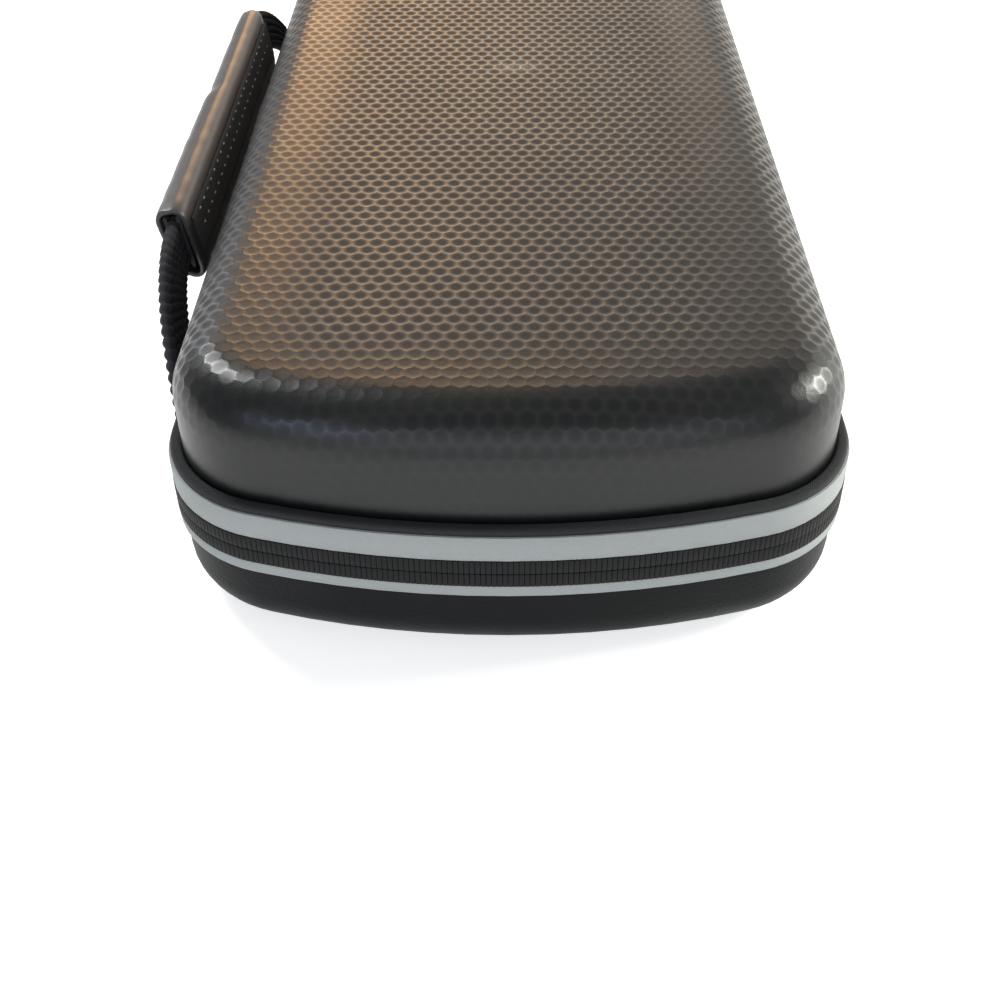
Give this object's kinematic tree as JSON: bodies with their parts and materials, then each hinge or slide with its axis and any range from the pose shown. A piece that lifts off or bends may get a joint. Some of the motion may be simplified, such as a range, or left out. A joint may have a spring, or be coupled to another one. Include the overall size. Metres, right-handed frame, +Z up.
{
  "type": "console carrying case",
  "caption": "Zipped moulded hard case for a handheld console, with a webbing handle, fabric spine hinge, fitted tray, card page and net pocket.",
  "frame": {"origin": "centre of the flat underside of the base", "axes": "+X towards the spine side, +Y along the case away from the short end in the foreground, +Z up"},
  "size_m": [0.1306, 0.2622, 0.049],
  "materials": {
    "shell_skin": "satin embossed",
    "fleece": "brushed",
    "grey_tape": "woven",
    "coil": "ribbed",
    "black_fabric": "woven",
    "webbing": "woven",
    "grip_skin": "satin",
    "foam": "matt",
    "moulded_tab": "matt",
    "metal": "blackened"
  },
  "bodies": {
    "base": {"base_shell": "shell_skin", "base_lining": "fleece", "console_tray": "fleece", "base_zip_tape": "grey_tape", "base_coil": "coil", "base_binding": "black_fabric", "spine_leaf_base": "black_fabric", "spine_cord": "coil", "page_hem": "black_fabric", "zip_end_stops": "metal", "handle_anchor_near": "webbing", "handle_anchor_far": "webbing"},
    "lid": {"lid_shell": "shell_skin", "lid_lining": "fleece", "lid_rim": "black_fabric", "lid_zip_tape": "grey_tape", "lid_coil": "coil", "lid_binding": "black_fabric", "spine_leaf_lid": "black_fabric", "pocket_net": "black_fabric", "pocket_elastic": "black_fabric", "pocket_binding": "black_fabric"},
    "page": {"page_board": "fleece", "page_binding": "black_fabric", "page_hinge": "black_fabric", "page_tab": "webbing", "card_pockets": "black_fabric"},
    "slider_n": {"slider_near": "metal"},
    "pull_n": {"pull_link_near": "metal", "pull_tab_near": "moulded_tab"},
    "slider_f": {"slider_far": "metal"},
    "pull_f": {"pull_link_far": "metal", "pull_tab_far": "moulded_tab"},
    "handle": {"handle_webbing": "webbing", "grip_wrap": "grip_skin", "grip_foam": "foam"}
  },
  "joints": [
    {"name": "lid_open", "type": "hinge", "parent": "base", "child": "lid", "pos_m": [0.06, 0, 0.0205], "axis": [0, 1, 0], "range_deg": [0, 145]},
    {"name": "page_turn", "type": "hinge", "parent": "base", "child": "page", "pos_m": [0.0531, 0, 0.0214], "axis": [0, 1, 0], "range_deg": [0, 72.5]},
    {"name": "slider_near_slide", "type": "slide", "parent": "base", "child": "slider_n", "axis": [0, -1, 0], "range_m": [0, 0.056]},
    {"name": "slider_far_slide", "type": "slide", "parent": "base", "child": "slider_f", "axis": [0, 1, 0], "range_m": [0, 0.056]},
    {"name": "pull_near_swing", "type": "hinge", "parent": "slider_n", "child": "pull_n", "pos_m": [-0.06278, -0.009, 0.0205], "axis": [0, 1, 0], "range_deg": [0, 35]},
    {"name": "pull_far_swing", "type": "hinge", "parent": "slider_f", "child": "pull_f", "pos_m": [-0.06278, 0.009, 0.0205], "axis": [0, 1, 0], "range_deg": [0, 35]},
    {"name": "handle_swing", "type": "hinge", "parent": "base", "child": "handle", "pos_m": [-0.0607, 0, 0.0154], "axis": [0, -1, 0], "range_deg": [0, 45]}
  ],
  "couplings": [
    {"joint": "page_turn", "follows": "lid_open", "ratio": 0.5}
  ]
}
